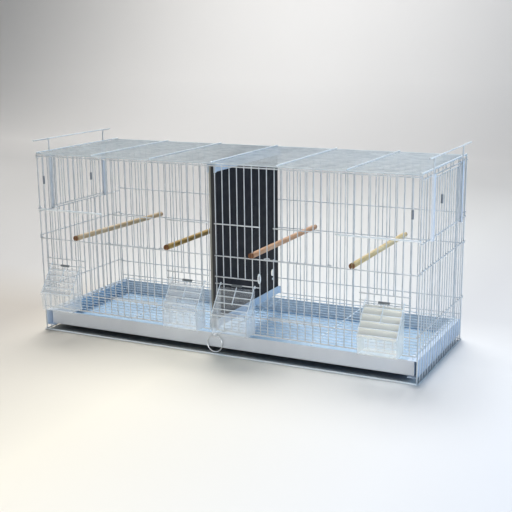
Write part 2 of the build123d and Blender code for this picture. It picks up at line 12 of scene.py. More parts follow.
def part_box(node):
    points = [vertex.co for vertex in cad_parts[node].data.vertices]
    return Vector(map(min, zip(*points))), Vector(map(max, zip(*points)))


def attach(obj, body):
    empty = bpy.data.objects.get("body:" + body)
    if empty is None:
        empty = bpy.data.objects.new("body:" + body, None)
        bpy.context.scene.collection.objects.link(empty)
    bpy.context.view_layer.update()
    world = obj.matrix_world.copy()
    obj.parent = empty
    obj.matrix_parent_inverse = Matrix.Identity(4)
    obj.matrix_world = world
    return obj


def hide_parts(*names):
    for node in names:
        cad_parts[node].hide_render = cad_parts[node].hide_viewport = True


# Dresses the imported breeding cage: round wires with welds, painted sheet, wood and clear plastic.
# Lengths are in metres, and MM turns a size in millimetres into metres.

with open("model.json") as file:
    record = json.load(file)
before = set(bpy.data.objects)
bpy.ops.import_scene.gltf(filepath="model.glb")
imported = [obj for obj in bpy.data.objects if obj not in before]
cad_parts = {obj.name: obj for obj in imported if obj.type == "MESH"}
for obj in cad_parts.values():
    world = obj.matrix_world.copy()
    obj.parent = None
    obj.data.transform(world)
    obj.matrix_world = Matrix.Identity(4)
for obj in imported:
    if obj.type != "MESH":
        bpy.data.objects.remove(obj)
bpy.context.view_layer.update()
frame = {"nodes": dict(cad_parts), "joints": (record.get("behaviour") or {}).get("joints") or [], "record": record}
MM = 0.001

# Diameters of the wires
BAR = 2.2 * MM
RAIL = 2.6 * MM
POST = 3.0 * MM
CURL = 2.0 * MM
RING_WIRE = 2.2 * MM

# The joints by their names, and the body of each node
JOINTS = {joint["name"]: joint for joint in frame["joints"]}
BODIES = frame["record"]["behaviour"]["bodies"]
BODY_OF = {node: body for body, nodes in BODIES.items() for node in nodes}

# The cage's own nodes of straight wires in the same paint, in the order they are drawn
CAGE_WIRE_NODES = (
    "front_panel",
    "back_panel",
    "side_panel_left",
    "side_panel_right",
    "corner_posts",
    "cup_rests",
)

# How finely round things are drawn
WIRE_SIDES = 10
LEG_SIDES = 12
HINGE_WIRE_SIDES = 14
RING_SIDES = 16
RING_STEPS = 72
ARC_STEPS = 14
LEG_BEND_STEPS = 8
CORNER_HOOK_STEPS = 18
CLIP_STEPS = 24
OVAL_STEPS = 12
BEAD_SIDES = 6

# Drawn wire strays a little except near the floor, and its cut ends are rounded over
WAVE_STEP = 35 * MM
WAVE_HEIGHT = 0.12 * MM
ROOF_WAVE_HEIGHT = 0.04 * MM
WAVE_TURNS = (0.6, 1.6)
NEAR_FLOOR = 2 * RAIL
END_WIDTH = 0.7
END_LENGTH = 0.35

# The solids' straight wires are prisms with this many corners, and equal corners agree
# in this many decimals
PRISM_CORNERS = (12, 16)
CORNER_DECIMALS = 6

# Weld beads: their radius as a share of the wires' radii, their height as a share of
# their radius, and when two wires count as touching crosswise
BEAD_SIZE = 0.6
RING_BEAD_SIZE = 0.56
BEAD_REACH = 0.8
BEAD_FLATNESS = 0.6
TOUCH_GAP = 0.3 * MM
SAME_LINE_GAP = 0.1 * MM
END_SLACK = 0.01
LEAST_CROSSING = 0.5

# Bent wires of the guards, the doors and the corner hooks. Some are a hair slimmer than
# in the solids, to stay inside the solids' box.
GUARD_SLOPE = radians(54)
GUARD_LENGTH = 72 * MM
GUARD_HOOK_TURN = radians(215)
HOOK_RADIUS = 2.4 * MM
DOOR_CURL_RADIUS = 5.5 * MM
DOOR_CURL_TURN = radians(250)
HANDLE_BEND = 6 * MM
CORNER_HOOK_TURN = radians(300)
CORNER_HOOK_RISE = 0.2
CURLED_RADIUS = 0.46 * RAIL
LEG_RADIUS = 0.49 * POST
SIDE_WIRE_INSET = 0.58 * CURL

# Wires with a larger radius than these have the stout wires' brighter paint, a painted highlight
STOUT = 1.7 * MM
STOUT_IN_GRILLE = 1.15 * MM

# The divider's slot and hole near its back edge, and the loop clip on the third feeder's rail
SLOT_FROM_BACK = 32 * MM
SLOT_LEVEL = 116.5 * MM
SLOT_WIDTH = 15 * MM
SLOT_LENGTH = 17 * MM
HOLE_LEVEL = 101 * MM
HOLE_WIDTH = 6 * MM
CLIP_WIRE = 3.0 * MM
CLIP_WIDTH = 8 * MM
CLIP_LENGTH = 22 * MM
CLIP_LEVEL = 180 * MM
CLIP_FROM_GUARD = 10 * MM

# How far the edges of the sheet, plastic and wooden pieces are rounded
TRAY_EDGE = 0.4 * MM
RUNNER_EDGE = 0.25 * MM
SHEET_EDGE = 0.2 * MM
CLIP_EDGE = 0.3 * MM
CUP_EDGE = 0.5 * MM
CUP_EDGE_STEPS = 3
TRIM_EDGE = 0.5 * MM
PERCH_EDGE = 0.5 * MM

# When points count as one, faces as flat and edges as sharp
SAME_POINT = 0.001 * MM
FLAT_ANGLE = radians(1)
SHARP_ANGLE = radians(40)

# Noise patterns lie mostly between these two values
PATTERN_LOW = 0.3
PATTERN_HIGH = 0.7

# The sheen of coated sheet, the painted highlight on part of the divider trim's front, and
# where a perch's dark end begins and is darkest, measured from the cut
SHEET_ROUGHNESS = (0.3, 0.5)
HIGHLIGHT_SHARE = 0.45
HIGHLIGHT_BLUR = 0.4 * MM
DARK_END_FROM = 7 * MM
DARK_END_TO = 1 * MM

# The backdrop's form, in metres
SWEEP_HALF_WIDTH = 7.0
SWEEP_FRONT = -5.0
SWEEP_TURN = 3.2
SWEEP_BEND = 1.6
SWEEP_HEIGHT = 5.0
SWEEP_STEPS = 24

# Its tones from left to right, on the floor in front of the cage and behind it and on
# the wall near and far, and the spans of X or Y over which they change
# The darker tones to the left and near the wall are painted shade, and the bluer right end is painted shade in
# cool light
FLOOR_SPAN = (-0.6, 1.0)
FLOOR_TONES = (
    (0.0, (0.51, 0.475, 0.43)),
    (0.35, (0.89, 0.84, 0.73)),
    (0.7, (0.79, 0.79, 0.80)),
    (1.0, (0.62, 0.66, 0.74)),
)
WALL_SPAN = (-3.2, 0.6)
BACK_TONES = (
    (0.34, (0.454, 0.445, 0.43)),
    (0.6, (0.55, 0.54, 0.53)),
    (0.76, (0.74, 0.745, 0.73)),
    (0.895, (0.70, 0.71, 0.715)),
    (0.95, (0.62, 0.625, 0.645)),
)
NEAR_WALL_TONES = ((0.0, (0.35, 0.343, 0.335)), (1.0, (0.375, 0.38, 0.39)))
FAR_WALL_TONES = ((0.0, (0.74, 0.727, 0.705)), (1.0, (0.71, 0.712, 0.715)))
BACK_SPAN = (0.0, 0.35)
AWAY_SPAN = (0.3, 3.4)
FAR_WALL_SPAN = (2.4, 4.2)

# The surround's strength and tint, as a light and as what is seen of it
SURROUND_LIGHT = 0.05
SURROUND_SEEN = 0.7
SURROUND_LIGHT_TINT = (0.45, 0.68, 1.0)
SURROUND_SEEN_TINT = (0.93, 0.96, 1.0)

# The camera, fitted to the photograph
CAMERA_PLACE = (0.9755, -1.8928, 0.6782)
CAMERA_TURN = radians(26.485)
CAMERA_DIP = radians(12.974)
CAMERA_ROLL = radians(-0.644)
FOCAL_PIXELS = 976.5
PHOTO_PIXELS = 512
SENSOR_WIDTH = 36.0

chance = random.Random(7)


# Meshes

class Shape:
    """Vertices and faces that are gathered into one mesh."""

    def __init__(self):
        self.points = []
        self.faces = []

    def ring(self, centre, side, up, radius, count):
        """Adds a ring of points and returns the number of its first one."""
        first = len(self.points)
        for step in range(count):
            angle = 2 * pi * step / count
            self.points.append(centre + side * (radius * cos(angle)) + up * (radius * sin(angle)))
        return first

    def bridge(self, one, other, count):
        """Joins two rings with a band of faces."""
        for step in range(count):
            after = (step + 1) % count
            self.faces.append((one + step, one + after, other + after, other + step))

    def cap(self, ring, count, outward):
        """Closes a ring with one face."""
        order = range(count) if outward else reversed(range(count))
        self.faces.append(tuple(ring + step for step in order))

    def piece(self, name, material, body, replaced=()):
        """Turns the gathered faces into a smooth object that rides on a body."""
        mesh = bpy.data.meshes.new(name)
        mesh.from_pydata([tuple(point) for point in self.points], [], self.faces)
        mesh.shade_smooth()
        mesh.materials.append(material)
        made = bpy.data.objects.new(name, mesh)
        bpy.context.scene.collection.objects.link(made)
        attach(made, body)
        if replaced:
            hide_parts(*replaced)
        return made


def tube(shape, path, radius, closed=False, sides=WIRE_SIDES):
    """A round wire along a path, with its cut ends rounded over inside its length."""
    path = [Vector(point) for point in path]
    count = len(path)
    tangents = []
    for index in range(count):
        before = path[index - 1] if index > 0 or closed else path[index]
        after = path[(index + 1) % count] if index < count - 1 or closed else path[index]
        tangents.append((after - before).normalized())
    side = tangents[0].orthogonal().normalized()
    rings = []
    for index, (point, tangent) in enumerate(zip(path, tangents)):
        side = (side - tangent * side.dot(tangent)).normalized()
        up = tangent.cross(side)
        inward = tangent * radius * END_LENGTH
        if not closed and index == 0:
            rings.append(shape.ring(point, side, up, radius * END_WIDTH, sides))
            rings.append(shape.ring(point + inward, side, up, radius, sides))
        elif not closed and index == count - 1:
            rings.append(shape.ring(point - inward, side, up, radius, sides))
            rings.append(shape.ring(point, side, up, radius * END_WIDTH, sides))
        else:
            rings.append(shape.ring(point, side, up, radius, sides))
    for one, other in zip(rings, rings[1:]):
        shape.bridge(one, other, sides)
    if closed:
        shape.bridge(rings[-1], rings[0], sides)
    else:
        shape.cap(rings[0], sides, False)
        shape.cap(rings[-1], sides, True)


def wavy(start, end, height=WAVE_HEIGHT):
    """Points from start to end that stray a little as drawn wire does, but not near the floor."""
    start, end = Vector(start), Vector(end)
    along = end - start
    if min(start.z, end.z) < NEAR_FLOOR:
        height = 0
    side = along.orthogonal().normalized()
    up = along.normalized().cross(side)
    steps = max(1, ceil(along.length / WAVE_STEP))
    sway = chance.uniform(0, 2 * pi)
    turns = chance.uniform(*WAVE_TURNS)
    path = []
    for step in range(steps + 1):
        share = step / steps
        sag = height * sin(pi * share)
        drift = 2 * pi * turns * share + sway
        path.append(start + along * share + side * sag * cos(drift) + up * sag * sin(drift))
    return path


def arc(centre, radius, start, turn, across, up, steps=ARC_STEPS):
    """Points along an arc in the plane of across and up."""
    points = []
    for step in range(steps + 1):
        angle = start + turn * step / steps
        points.append(centre + across * (radius * cos(angle)) + up * (radius * sin(angle)))
    return points


def loose_parts(node):
    """The corners of every separate solid in a CAD node."""
    mesh = frame["nodes"][node].data
    numbers = {}
    merged = []
    for vertex in mesh.vertices:
        place = tuple(np.round(vertex.co, CORNER_DECIMALS))
        merged.append(numbers.setdefault(place, len(numbers)))
    leader = list(range(len(numbers)))

    def lead(number):
        while leader[number] != number:
            leader[number] = leader[leader[number]]
            number = leader[number]
        return number

    for polygon in mesh.polygons:
        first = lead(merged[polygon.vertices[0]])
        for vertex in polygon.vertices[1:]:
            leader[lead(merged[vertex])] = first
    parts = {}
    for place, number in numbers.items():
        parts.setdefault(lead(number), []).append(place)
    return [np.array(places) for places in parts.values()]


def straight_wires(node):
    """The two ends and the radius of each straight wire in a CAD node."""
    wires = []
    for corners in loose_parts(node):
        if len(corners) not in PRISM_CORNERS:
            continue
        middle = corners.mean(0)
        direction = np.linalg.svd(corners - middle)[2][0]
        along = (corners - middle) @ direction
        away = np.linalg.norm(corners - middle - np.outer(along, direction), axis=1).mean()
        radius = away * cos(2 * pi / len(corners))
        ends = Vector(corners[along < 0].mean(0)), Vector(corners[along > 0].mean(0))
        wires.append((ends, radius))
    return wires


def nugget(shape, place, normal, along, radius):
    """A small flattened weld bead between two crossing wires."""
    normal = normal.normalized()
    side = (along - normal * along.dot(normal)).normalized()
    up = normal.cross(side)
    rings = []
    for height in (-BEAD_REACH, 0.0, BEAD_REACH):
        centre = place + normal * radius * height * BEAD_FLATNESS
        width = radius * (1 - height * height) ** 0.5
        rings.append(shape.ring(centre, side, up, width, BEAD_SIDES))
    shape.cap(rings[0], BEAD_SIDES, False)
    shape.bridge(rings[0], rings[1], BEAD_SIDES)
    shape.bridge(rings[1], rings[2], BEAD_SIDES)
    shape.cap(rings[2], BEAD_SIDES, True)


def closest(one, other):
    """The nearest points of two wires' centre lines, or None where they don't cross."""
    (a, b), (c, d) = one, other
    u, v, w = b - a, d - c, a - c
    uu, uv, vv, uw, vw = u.dot(u), u.dot(v), v.dot(v), u.dot(w), v.dot(w)
    crossing = uu * vv - uv * uv
    if crossing < LEAST_CROSSING * uu * vv:
        return None
    s = (uv * vw - vv * uw) / crossing
    t = (uu * vw - uv * uw) / crossing
    if not all(-END_SLACK <= value <= 1 + END_SLACK for value in (s, t)):
        return None
    return a + u * s, c + v * t


def boxes_apart(one, other, gap):
    """Whether two wires' boxes are further apart than gap along some axis."""
    for k in range(3):
        if min(one[0][k], one[1][k]) - max(other[0][k], other[1][k]) > gap:
            return True
        if min(other[0][k], other[1][k]) - max(one[0][k], one[1][k]) > gap:
            return True
    return False


def welds(name, wires, body, material):
    """Beads wherever two of the wires touch crosswise."""
    shape = Shape()
    for index, (one, one_radius) in enumerate(wires):
        for other, other_radius in wires[index + 1:]:
            both = one_radius + other_radius
            gap = both + TOUCH_GAP
            met = None if boxes_apart(one, other, gap) else closest(one, other)
            if met is None:
                continue
            apart = met[1] - met[0]
            if SAME_LINE_GAP < apart.length < gap:
                place = met[0] + apart * (one_radius / both)
                nugget(shape, place, apart, one[1] - one[0], min(BEAD_SIZE * both, place.z))
    return shape.piece(name, material, body)


# Materials

def blank(name):
    """A new material with its node tree and its shader."""
    made = bpy.data.materials.new(name)
    made.use_nodes = True
    tree = made.node_tree
    return made, tree, tree.nodes["Principled BSDF"]


def feed(tree, socket, value):
    """Gives a socket a fixed colour, a fixed number or another node's output."""
    if isinstance(value, tuple):
        socket.default_value = (*value, 1)
    elif isinstance(value, float):
        socket.default_value = value
    else:
        tree.links.new(value, socket)


def coordinate(tree, space, axis):
    """One axis of a texture coordinate."""
    place = tree.nodes.new("ShaderNodeTexCoord")
    split = tree.nodes.new("ShaderNodeSeparateXYZ")
    tree.links.new(place.outputs[space], split.inputs[0])
    return split.outputs[axis]


def noise(tree, scale, detail=3.0, stretch=None, roughness=0.5):
    """A noise pattern fixed to the object, in its own metres."""
    place = tree.nodes.new("ShaderNodeTexCoord")
    pattern = tree.nodes.new("ShaderNodeTexNoise")
    pattern.inputs["Scale"].default_value = scale
    pattern.inputs["Detail"].default_value = detail
    pattern.inputs["Roughness"].default_value = roughness
    source = place.outputs["Object"]
    if stretch:
        mapping = tree.nodes.new("ShaderNodeMapping")
        mapping.inputs["Scale"].default_value = stretch
        tree.links.new(source, mapping.inputs["Vector"])
        source = mapping.outputs["Vector"]
    tree.links.new(source, pattern.inputs["Vector"])
    return pattern.outputs["Fac"]


def ramp(tree, factor, stops):
    """Colours along a factor, as (place, colour) pairs from low to high."""
    made = tree.nodes.new("ShaderNodeValToRGB")
    tree.links.new(factor, made.inputs["Fac"])
    elements = made.color_ramp.elements
    for element, (place, colour) in zip(elements, (stops[0], stops[-1])):
        element.position = place
        element.color = (*colour, 1)
    for place, colour in stops[1:-1]:
        elements.new(place).color = (*colour, 1)
    return made.outputs["Color"]


def mottled(tree, pattern, dark, light, start=PATTERN_LOW, end=PATTERN_HIGH):
    """A colour that runs from dark to light with a pattern."""
    return ramp(tree, pattern, [(start, dark), (end, light)])


def remapped(tree, value, start, end, low=0.0, high=1.0):
    """A number that runs from low to high while another runs from start to end."""
    made = tree.nodes.new("ShaderNodeMapRange")
    made.inputs["From Min"].default_value = start
    made.inputs["From Max"].default_value = end
    made.inputs["To Min"].default_value = low
    made.inputs["To Max"].default_value = high
    tree.links.new(value, made.inputs["Value"])
    return made.outputs["Result"]


def spread(tree, pattern, low, high):
    """A number that runs from low to high with a pattern."""
    return remapped(tree, pattern, PATTERN_LOW, PATTERN_HIGH, low, high)


def combined(tree, operation, first, second=0.0, clamp=False):
    """One number worked out from two, or from the first alone."""
    made = tree.nodes.new("ShaderNodeMath")
    made.operation = operation
    made.use_clamp = clamp
    feed(tree, made.inputs[0], first)
    feed(tree, made.inputs[1], second)
    return made.outputs[0]


def blended(tree, factor, first, second):
    """Two colours mixed by a factor."""
    made = tree.nodes.new("ShaderNodeMix")
    made.data_type = "RGBA"
    tree.links.new(factor, made.inputs["Factor"])
    feed(tree, made.inputs["A"], first)
    feed(tree, made.inputs["B"], second)
    return made.outputs["Result"]


def surface(tree, shader, colour, dullness, relief, strength, depth):
    """Gives a shader its colour, its roughness and the fine relief of a pattern."""
    tree.links.new(colour, shader.inputs["Base Color"])
    tree.links.new(dullness, shader.inputs["Roughness"])
    bump = tree.nodes.new("ShaderNodeBump")
    bump.inputs["Strength"].default_value = strength
    bump.inputs["Distance"].default_value = depth
    tree.links.new(relief, bump.inputs["Height"])
    tree.links.new(bump.outputs["Normal"], shader.inputs["Normal"])


def painted_wire(name, dark, light):
    """Smooth paint on wire, a little thicker and thinner along its length."""
    made, tree, shader = blank(name)
    tone = mottled(tree, noise(tree, scale=45), dark, light, start=0.32, end=0.66)
    specks = spread(tree, noise(tree, scale=420, detail=2), low=0.0, high=0.22)
    dullness = spread(tree, noise(tree, scale=160), low=0.28, high=0.45)
    relief = noise(tree, scale=1400, detail=2)
    colour = blended(tree, specks, tone, dark)
    surface(tree, shader, colour, dullness, relief, strength=0.12, depth=0.2 * MM)
    return made


def sheet_tone(tree, dark, light):
    """Faint clouding and rolling marks on coated sheet steel."""
    clouds = mottled(tree, noise(tree, scale=9, detail=5), dark, light)
    marks = noise(tree, scale=30, detail=4, stretch=(0.3, 8, 8))
    return blended(tree, spread(tree, marks, low=0.0, high=0.3), clouds, dark)


def sheet_surface(tree, shader, colour, roughness):
    """The coating's sheen, with rubbed spots, and its faint relief."""
    dullness = spread(tree, noise(tree, scale=60, detail=4), *roughness)
    relief = noise(tree, scale=700, detail=3)
    surface(tree, shader, colour, dullness, relief, strength=0.1, depth=0.3 * MM)


def painted_sheet(name, dark, light, roughness=SHEET_ROUGHNESS, specular=0.5):
    """Coated sheet steel in one colour."""
    made, tree, shader = blank(name)
    shader.inputs["Specular IOR Level"].default_value = specular
    sheet_surface(tree, shader, sheet_tone(tree, dark, light), roughness)
    return made


def tray_paint(name, face_tones, floor_tones, under_shade_tone):
    """Coated sheet, greyer in front than on its floor, whose bluer, lighter tones are painted cool light, and with
    painted shade underneath.
    """
    made, tree, shader = blank(name)
    facing_front = remapped(tree, coordinate(tree, "Normal", "Y"), start=-0.3, end=-0.8)
    facing_down = remapped(tree, coordinate(tree, "Normal", "Z"), start=-0.6, end=-0.9)
    clouds = noise(tree, scale=14, detail=5, stretch=(1, 1, 0.4))
    face_tone = mottled(tree, clouds, *face_tones)
    # The floor's bluer, lighter tones are painted light, standing in for cool light from above
    seen_tone = blended(tree, facing_front, sheet_tone(tree, *floor_tones), face_tone)
    # The dark underside is painted shade
    colour = blended(tree, facing_down, seen_tone, under_shade_tone)
    sheet_surface(tree, shader, colour, SHEET_ROUGHNESS)
    return made


def moulded(name, dark, light):
    """Moulded plastic with a fine grain and dull patches."""
    made, tree, shader = blank(name)
    colour = mottled(tree, noise(tree, scale=25, detail=4), dark, light, start=0.35, end=0.65)
    dullness = spread(tree, noise(tree, scale=80), low=0.4, high=0.6)
    relief = noise(tree, scale=900, detail=2)
    surface(tree, shader, colour, dullness, relief, strength=0.2, depth=0.2 * MM)
    return made


def edge_trim(name, side_tone, highlight_dark, highlight_light, highlight_to):
    """Black moulded plastic whose front carries a painted highlight in dull grey, up to a place along X."""
    made, tree, shader = blank(name)
    facing_front = remapped(tree, coordinate(tree, "Normal", "Y"), start=-0.4, end=-0.8)
    left_part = remapped(
        tree,
        coordinate(tree, "Object", "X"),
        start=highlight_to + HIGHLIGHT_BLUR,
        end=highlight_to - HIGHLIGHT_BLUR,
    )
    # The grey on the front's left part is a painted highlight, where light catches the trim
    painted_highlight = combined(tree, "MULTIPLY", facing_front, left_part)
    highlight_streaks = noise(tree, scale=60, detail=4, stretch=(1, 1, 0.2))
    highlight_tone = mottled(tree, highlight_streaks, highlight_dark, highlight_light)
    dullness = spread(tree, noise(tree, scale=80), low=0.4, high=0.6)
    relief = noise(tree, scale=900, detail=2)
    colour = blended(tree, painted_highlight, side_tone, highlight_tone)
    surface(tree, shader, colour, dullness, relief, strength=0.15, depth=0.2 * MM)
    return made


def bare_steel(name, dark, light):
    """Plated steel with fine draw marks."""
    made, tree, shader = blank(name)
    shader.inputs["Metallic"].default_value = 0.9
    colour = mottled(tree, noise(tree, scale=150, detail=4), dark, light)
    dullness = spread(tree, noise(tree, scale=500, detail=3), low=0.22, high=0.4)
    relief = noise(tree, scale=1800, detail=2)
    surface(tree, shader, colour, dullness, relief, strength=0.1, depth=0.1 * MM)
    return made


def clear_cover(tree, hood_reflection):
    """How much clear plastic covers: little face on, more at grazing angles and on its hood, both showing its pale
    tint as a painted reflection.
    """
    rim = tree.nodes.new("ShaderNodeLayerWeight")
    rim.inputs["Blend"].default_value = 0.3
    # Slanted walls show more of the pale tint, a painted reflection
    grazing = remapped(tree, rim.outputs["Facing"], start=0.2, end=1.0, low=0.12, high=0.85)
    scuffs = spread(tree, noise(tree, scale=90, detail=4), low=0.0, high=0.05)
    forward, upward = coordinate(tree, "Normal", "Y"), coordinate(tree, "Normal", "Z")
    faces_front = remapped(tree, forward, start=-0.5, end=-0.75, high=hood_reflection)
    faces_up = remapped(tree, upward, start=0.3, end=0.5)
    hood_reflection_cover = combined(tree, "MULTIPLY", faces_front, faces_up)
    cover_and_reflection = combined(tree, "ADD", combined(tree, "ADD", grazing, scuffs), hood_reflection_cover, clamp=True)
    level_floor = remapped(tree, upward, start=0.9, end=0.98, low=1.0, high=0.35)
    return combined(tree, "MULTIPLY", cover_and_reflection, level_floor)


def clear_plastic(name, hood_reflection, dim, pale):
    """Clear moulded plastic, scuffed, with a painted reflection on its sloping hood."""
    made, tree, shader = blank(name)
    tint = mottled(tree, noise(tree, scale=12, detail=2), dim, pale)
    dullness = spread(tree, noise(tree, scale=40, detail=3), low=0.04, high=0.12)
    shader.inputs["IOR"].default_value = 1.55
    tree.links.new(tint, shader.inputs["Base Color"])
    tree.links.new(dullness, shader.inputs["Roughness"])
    tree.links.new(clear_cover(tree, hood_reflection), shader.inputs["Alpha"])
    return made


def wood(name, dark, middle, light, end_tone, middle_y, half_length):
    """Turned wood with long grain, pores, dull patches and darker cut ends."""
    made, tree, shader = blank(name)
    streaks = noise(tree, scale=90, detail=6, stretch=(1, 0.07, 1), roughness=0.6)
    grain = ramp(tree, streaks, [(0.3, dark), (0.5, middle), (0.72, light)])
    pores = noise(tree, scale=700, detail=3, stretch=(1, 0.05, 1))
    porous = blended(tree, spread(tree, pores, low=0.0, high=0.45), grain, dark)
    patches = spread(tree, noise(tree, scale=60, detail=2), low=0.0, high=0.5)
    along = combined(tree, "SUBTRACT", coordinate(tree, "Object", "Y"), middle_y)
    near_end = remapped(
        tree,
        combined(tree, "ABSOLUTE", along),
        start=half_length - DARK_END_FROM,
        end=half_length - DARK_END_TO,
    )
    colour = blended(tree, near_end, blended(tree, patches, porous, dark), end_tone)
    dullness = spread(tree, noise(tree, scale=220, detail=4), low=0.5, high=0.75)
    relief = noise(tree, scale=420, detail=4, stretch=(1, 0.06, 1))
    surface(tree, shader, colour, dullness, relief, strength=0.35, depth=0.4 * MM)
    return made


# One white coated wire in four paints: the roof's, the bars' and the grille's are lighter, bluer copies, painted
# light for the cool light on tops and for the lit stout bars, handles and guards
WHITE_WIRE = painted_wire(
    "white_wire_paint", dark=(0.54, 0.58, 0.61), light=(0.72, 0.75, 0.77)
)
ROOF_WIRE = painted_wire(
    "roof_wire_paint", dark=(0.60, 0.67, 0.71), light=(0.78, 0.84, 0.87)
)
ROOF_BAR = painted_wire(
    "roof_bar_paint", dark=(0.82, 0.90, 0.95), light=(0.93, 0.96, 0.98)
)
GRILLE_WIRE = painted_wire(
    "grille_wire_paint", dark=(0.60, 0.70, 0.79), light=(0.77, 0.85, 0.91)
)
PALE_BLUE_SHEET = painted_sheet(
    "pale_blue_sheet_paint", dark=(0.50, 0.64, 0.82), light=(0.66, 0.77, 0.90)
)
# The channels' and runners' sheet is painted lighter to lift the shade they sit in: painted light
CHANNEL_SHEET = painted_sheet(
    "channel_sheet_paint", dark=(0.74, 0.81, 0.90), light=(0.86, 0.91, 0.97)
)
RUNNER_SHEET = painted_sheet(
    "runner_sheet_paint", dark=(0.56, 0.68, 0.84), light=(0.68, 0.78, 0.92)
)
DARK_SHEET = painted_sheet(
    "dark_divider_sheet",
    dark=(0.003, 0.005, 0.010),
    light=(0.006, 0.009, 0.017),
    roughness=(0.45, 0.6),
    specular=0.15,
)
# Its floor tones carry painted cool light, and its under tone is painted shade
TRAY_SHEET = tray_paint(
    "tray_sheet_paint",
    face_tones=((0.66, 0.70, 0.75), (0.73, 0.77, 0.82)),
    floor_tones=((0.41, 0.59, 0.79), (0.52, 0.71, 0.89)),
    under_shade_tone=(0.05, 0.10, 0.20),
)
TRIM_LEFT, TRIM_RIGHT = (corner.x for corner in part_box("divider_trim"))
# The trim's grey front is a painted highlight
EDGE_TRIM = edge_trim(
    "edge_trim_plastic",
    side_tone=(0.008, 0.009, 0.011),
    highlight_dark=(0.20, 0.20, 0.18),
    highlight_light=(0.36, 0.37, 0.33),
    highlight_to=TRIM_LEFT + HIGHLIGHT_SHARE * (TRIM_RIGHT - TRIM_LEFT),
)
DARK_PLASTIC = moulded("dark_clip_plastic", dark=(0.15, 0.17, 0.20), light=(0.24, 0.27, 0.31))
TAB_PLASTIC = moulded("tab_plastic", dark=(0.15, 0.17, 0.18), light=(0.24, 0.26, 0.27))
PLATED_STEEL = bare_steel("plated_steel", dark=(0.62, 0.64, 0.67), light=(0.85, 0.87, 0.89))

# Each cup's painted reflection on its hood, and its tones; the cream tones are painted reflection
CLEAR_TONES = ((0.80, 0.86, 0.92), (0.95, 0.95, 0.92))
CREAM_REFLECTION_TONES = ((0.93, 0.94, 0.88), (1.0, 0.99, 0.90))
CUP_LOOKS = {
    1: (0.15, CLEAR_TONES),
    2: (0.15, CLEAR_TONES),
    3: (0.0, CLEAR_TONES),
    4: (0.9, CREAM_REFLECTION_TONES),
}

# Each perch's dark, middle and light tones, and the tone of all cut ends
PERCH_TONES = {
    1: ((0.44, 0.32, 0.17), (0.66, 0.52, 0.34), (0.82, 0.70, 0.52)),
    2: ((0.34, 0.21, 0.05), (0.58, 0.40, 0.13), (0.76, 0.58, 0.26)),
    3: ((0.50, 0.25, 0.12), (0.68, 0.41, 0.25), (0.80, 0.56, 0.40)),
    4: ((0.52, 0.36, 0.13), (0.86, 0.72, 0.43), (0.96, 0.88, 0.66)),
}
END_TONE = (0.17, 0.065, 0.02)


# Wires of the cage and the floor grille

def dress_wires(node, material, stout_from=STOUT):
    """Round wires in place of a node's straight ones; returns them with their radii."""
    shape, stout = Shape(), Shape()
    found = straight_wires(node)
    for (start, end), radius in found:
        tube(stout if radius > stout_from else shape, wavy(start, end), radius)
    shape.piece(f"{node}_wires", material, BODY_OF[node], (node,))
    if stout.faces:
        stout.piece(f"{node}_stout_wires", ROOF_BAR, BODY_OF[node], (node,))
    return found


def dress_roof():
    """The roof's fine wires and its stout bars, in their own lighter copies of the wire paint, painted light."""
    fine, stout = Shape(), Shape()
    found = straight_wires("roof_panel")
    for (start, end), radius in found:
        goes_back = abs(end.y - start.y) > abs(end.x - start.x)
        tube(stout if goes_back else fine, wavy(start, end, ROOF_WAVE_HEIGHT), radius)
    fine.piece("roof_fine_wires", ROOF_WIRE, BODY_OF["roof_panel"], ("roof_panel",))
    stout.piece("roof_bars", ROOF_BAR, BODY_OF["roof_panel"], ("roof_panel",))
    return found


def dress_hinge_wires():
    """The four feeder hinge wires, drawn round from their solids' boxes."""
    shape = Shape()
    for corners in loose_parts("feeder_hinge_wires"):
        low, high = Vector(corners.min(0)), Vector(corners.max(0))
        middle = (low + high) / 2
        start = Vector((low.x, middle.y, middle.z))
        end = Vector((high.x, middle.y, middle.z))
        tube(shape, wavy(start, end), RING_WIRE / 2, sides=HINGE_WIRE_SIDES)
    shape.piece("feeder_hinge_wires_round", WHITE_WIRE, "cage", ("feeder_hinge_wires",))


def dress_corner_hooks():
    """Rail ends curled round the corner posts, in one open turn each."""
    shape = Shape()
    radius = (POST + RAIL) / 2
    for corners in loose_parts("corner_hooks"):
        middle = Vector((corners.min(0) + corners.max(0)) / 2)
        across, up = Vector((-1 if middle.x > 0 else 1, 0, 0)), Vector((0, 1, 0))
        path = []
        for step in range(CORNER_HOOK_STEPS + 1):
            share = step / CORNER_HOOK_STEPS
            angle = -pi / 2 + CORNER_HOOK_TURN * share
            point = middle + across * (radius * cos(angle)) + up * (radius * sin(angle))
            path.append(point + Vector((0, 0, (share - 0.5) * CORNER_HOOK_RISE * RAIL)))
        tube(shape, path, CURLED_RADIUS)
    shape.piece("corner_hooks_curled", WHITE_WIRE, "cage", ("corner_hooks",))


cage_wires = []
for node in CAGE_WIRE_NODES:
    cage_wires += dress_wires(node, WHITE_WIRE)
cage_wires += dress_roof()
welds("cage_welds", cage_wires, "cage", WHITE_WIRE)
grille_wires = dress_wires("floor_grille", GRILLE_WIRE, STOUT_IN_GRILLE)
welds("floor_grille_welds", grille_wires, "floor_grille", GRILLE_WIRE)
dress_hinge_wires()
dress_corner_hooks()


# Doors, guards and the pull ring

